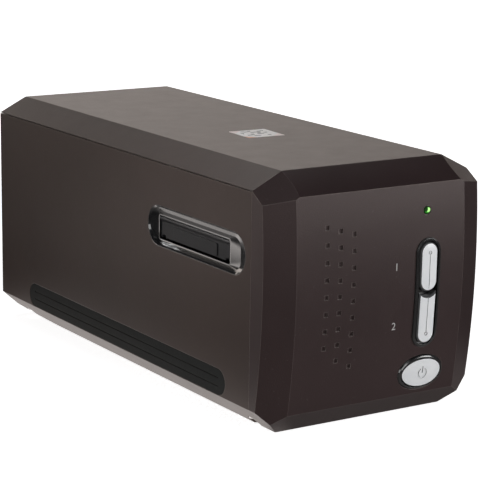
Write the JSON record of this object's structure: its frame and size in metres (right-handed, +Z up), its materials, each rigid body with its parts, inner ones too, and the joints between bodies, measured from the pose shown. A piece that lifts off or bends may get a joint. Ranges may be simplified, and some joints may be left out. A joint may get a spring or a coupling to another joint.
{
  "type": "film scanner",
  "caption": "Long eight-sided desktop film scanner with a curved front panel, push buttons, and a dust-doored slot that runs through it for a film holder.",
  "frame": {"origin": "on the table under the middle of the scanner's length and width", "axes": "+Z up, +Y towards the rear, front panel faces -Y, +X to the right seen from the front"},
  "size_m": [0.12, 0.27, 0.121],
  "materials": {
    "case_plastic": "fine satin texture, dark brown",
    "bezel_plastic": "satin, dark brown",
    "gloss_black": "high gloss black",
    "door_black": "gloss black",
    "button_silver": "pale silver paint",
    "grip_rubber": "matt dark rubber",
    "bright_steel": "ground steel",
    "chassis_steel": "zinc-plated sheet",
    "brass_parts": "turned",
    "inner_black": "matt black",
    "white_acetal": "white, slightly waxy",
    "board_green": "solder mask",
    "chip_black": "moulded package",
    "status_green": "clear green, lit",
    "mirror_glass": "front silvered",
    "lens_glass": "coated"
  },
  "bodies": {
    "scanner_case": {"lower_case": "case_plastic", "top_cover": "case_plastic", "rear_panel": "case_plastic", "front_bezel": "bezel_plastic", "scan_well": "gloss_black", "power_well": "gloss_black", "left_slot_dish": "gloss_black", "right_slot_dish": "gloss_black", "left_grip_strip": "grip_rubber", "right_grip_strip": "grip_rubber", "front_left_foot": "grip_rubber", "front_right_foot": "grip_rubber", "rear_left_foot": "grip_rubber", "rear_right_foot": "grip_rubber", "case_screws": "bright_steel", "left_door_pin": "bright_steel", "right_door_pin": "bright_steel", "bed_standoffs": "bright_steel", "left_guide_rod": "bright_steel", "right_guide_rod": "bright_steel", "chassis": "chassis_steel", "drive_motor": "chassis_steel", "data_port": "chassis_steel", "film_bed": "inner_black", "front_film_rail": "inner_black", "rear_film_rail": "inner_black", "upper_film_guide": "inner_black", "power_jack": "inner_black", "backlight_housing": "white_acetal", "light_diffuser": "white_acetal", "button_board": "board_green", "led_board": "board_green", "main_board": "board_green", "tact_switches": "chip_black", "light_pipe": "status_green"},
    "upper_button": {"upper_scan_button": "button_silver", "upper_plunger": "white_acetal"},
    "lower_button": {"lower_scan_button": "button_silver", "lower_plunger": "white_acetal"},
    "power_key": {"power_button": "button_silver", "power_plunger": "white_acetal"},
    "left_door": {"left_dust_door": "door_black", "left_door_spring": "bright_steel"},
    "right_door": {"right_dust_door": "door_black", "right_door_spring": "bright_steel"},
    "detent": {"detent_lever": "white_acetal"},
    "carriage": {"carriage_body": "inner_black", "carriage_cover": "inner_black", "rod_bushings": "brass_parts", "scan_mirror": "mirror_glass", "lens_barrel": "inner_black", "lens_glass": "lens_glass", "sensor_board": "board_green", "image_sensor": "chip_black", "screw_nut": "brass_parts"},
    "screw": {"lead_screw": "bright_steel", "screw_gear": "white_acetal"},
    "idler": {"idler_gear": "white_acetal"},
    "pinion": {"motor_pinion": "brass_parts"}
  },
  "joints": [
    {"name": "upper_button_press", "type": "slide", "parent": "scanner_case", "child": "upper_button", "axis": [0, 1, 0], "range_m": [0, 0.0008], "stiffness_N_per_m": 600},
    {"name": "lower_button_press", "type": "slide", "parent": "scanner_case", "child": "lower_button", "axis": [0, 1, 0], "range_m": [0, 0.0008], "stiffness_N_per_m": 600},
    {"name": "power_button_press", "type": "slide", "parent": "scanner_case", "child": "power_key", "axis": [0, 1, 0], "range_m": [0, 0.0008], "stiffness_N_per_m": 600},
    {"name": "left_door_swing", "type": "hinge", "parent": "scanner_case", "child": "left_door", "pos_m": [-0.056, -0.0641, 0.08545], "axis": [0, 1, 0], "range_deg": [-80, 80], "stiffness_Nm_per_rad": 0.002},
    {"name": "right_door_swing", "type": "hinge", "parent": "scanner_case", "child": "right_door", "pos_m": [0.056, -0.0641, 0.08545], "axis": [0, 1, 0], "range_deg": [-80, 80], "stiffness_Nm_per_rad": 0.002},
    {"name": "detent_click", "type": "hinge", "parent": "scanner_case", "child": "detent", "pos_m": [0.008, -0.1026, 0.08125], "axis": [0, 0, 1], "range_deg": [-6, 0], "stiffness_Nm_per_rad": 0.05},
    {"name": "carriage_travel", "type": "slide", "parent": "scanner_case", "child": "carriage", "axis": [0, 1, 0], "range_m": [0, 0.026]},
    {"name": "lead_screw_turn", "type": "hinge", "parent": "scanner_case", "child": "screw", "pos_m": [0, 0.0837, 0.0185], "axis": [0, 1, 0], "continuous": true},
    {"name": "idler_turn", "type": "hinge", "parent": "scanner_case", "child": "idler", "pos_m": [0, 0.0837, 0.0336], "axis": [0, 1, 0], "continuous": true},
    {"name": "pinion_turn", "type": "hinge", "parent": "scanner_case", "child": "pinion", "pos_m": [0, 0.0837, 0.0433], "axis": [0, 1, 0], "continuous": true}
  ],
  "couplings": [
    {"joint": "lead_screw_turn", "follows": "carriage_travel", "rad_per_m": -1047.2},
    {"joint": "idler_turn", "follows": "carriage_travel", "rad_per_m": 1570.8},
    {"joint": "pinion_turn", "follows": "carriage_travel", "rad_per_m": -2618}
  ]
}
